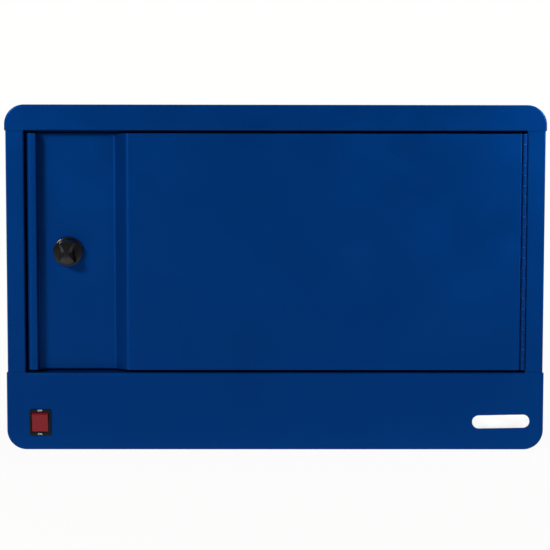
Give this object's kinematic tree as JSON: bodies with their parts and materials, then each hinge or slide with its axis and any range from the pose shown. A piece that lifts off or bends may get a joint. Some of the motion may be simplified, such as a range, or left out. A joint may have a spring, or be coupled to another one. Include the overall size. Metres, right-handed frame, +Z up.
{
  "type": "phone charging locker box",
  "caption": "Sheet-steel cabinet with one hinged door, a turn knob and a lit rocker switch; behind the door are two tiers of phone slots with charging sockets over a power bay.",
  "frame": {"origin": "middle of the footprint on the underside of the base pan", "axes": "+Z up, +X to the right seen from the front, +Y from the door to the back panel"},
  "size_m": [0.63, 0.2316, 0.404],
  "materials": {
    "paint": "blue powder coat with a fine texture, semi-gloss",
    "hinge_paint": "blue powder coat, thin over the knuckles",
    "zinc_steel": "bright zinc plate",
    "port_plastic": "black moulded",
    "charger_plastic": "black fine texture",
    "black_plastic": "black semi-gloss moulded",
    "knob_plastic": "black polished moulded",
    "red_plastic": "red translucent moulded",
    "lamp_glass": "clear orange",
    "label_plastic": "white domed resin",
    "white_nylon": "natural nylon",
    "brown_pvc": "brown insulation",
    "blue_pvc": "blue insulation",
    "green_pvc": "green insulation",
    "black_pvc": "black sheath",
    "rubber": "black soft rubber"
  },
  "bodies": {
    "case": {"top_cap": "paint", "base_pan": "paint", "left_side": "paint", "right_side": "paint", "back_panel": "paint", "bay_deck": "paint", "deck_bracket_left": "paint", "deck_bracket_right": "paint", "mid_shelf": "paint", "shelf_bracket_left": "paint", "shelf_bracket_right": "paint", "lower_dividers": "paint", "upper_dividers": "paint", "lower_port_strip": "paint", "upper_port_strip": "paint", "hinge_frame_leaf": "hinge_paint", "wall_pads": "zinc_steel", "back_screws": "zinc_steel", "shelf_screws": "zinc_steel", "strip_screws": "zinc_steel", "charger_tray": "zinc_steel", "tray_nuts": "zinc_steel", "charger_screws": "zinc_steel", "block_screws": "zinc_steel", "inlet_screws": "zinc_steel", "inlet_pins": "zinc_steel", "switch_terminals": "zinc_steel", "earth_nut": "zinc_steel", "hinge_pin": "zinc_steel", "frame_rivets": "zinc_steel", "lower_ports": "port_plastic", "upper_ports": "port_plastic", "right_charger": "charger_plastic", "left_charger": "charger_plastic", "power_inlet": "black_plastic", "switch_housing": "black_plastic", "switch_lamp": "lamp_glass", "label_plate": "label_plastic", "terminal_block": "white_nylon", "spade_sleeves": "white_nylon", "loom_clips": "white_nylon", "live_wires": "brown_pvc", "neutral_wires": "blue_pvc", "earth_wire": "green_pvc", "charger_leads": "black_pvc", "usb_looms": "black_pvc", "door_bumpers": "rubber"},
    "door": {"door_panel": "paint", "door_end_plates": "paint", "door_stiffener": "paint", "hinge_door_leaf": "hinge_paint", "door_rivets": "zinc_steel", "latch_housing": "zinc_steel", "latch_washer": "zinc_steel", "latch_nut": "zinc_steel"},
    "latch": {"latch_knob": "knob_plastic", "latch_spindle": "zinc_steel", "latch_cam": "zinc_steel", "cam_screw": "zinc_steel"},
    "rocker": {"switch_rocker": "red_plastic"}
  },
  "joints": [
    {"name": "door_hinge", "type": "hinge", "parent": "case", "child": "door", "pos_m": [0.2897, -0.1123, 0.2325], "axis": [0, 0, 1], "range_deg": [0, 175]},
    {"name": "latch_turn", "type": "hinge", "parent": "door", "child": "latch", "pos_m": [-0.2431, -0.0976, 0.2325], "axis": [0, 1, 0], "range_deg": [0, 90]},
    {"name": "switch_tilt", "type": "hinge", "parent": "case", "child": "rocker", "pos_m": [-0.276, -0.111, 0.0325], "axis": [1, 0, 0], "range_deg": [0, 18]}
  ]
}
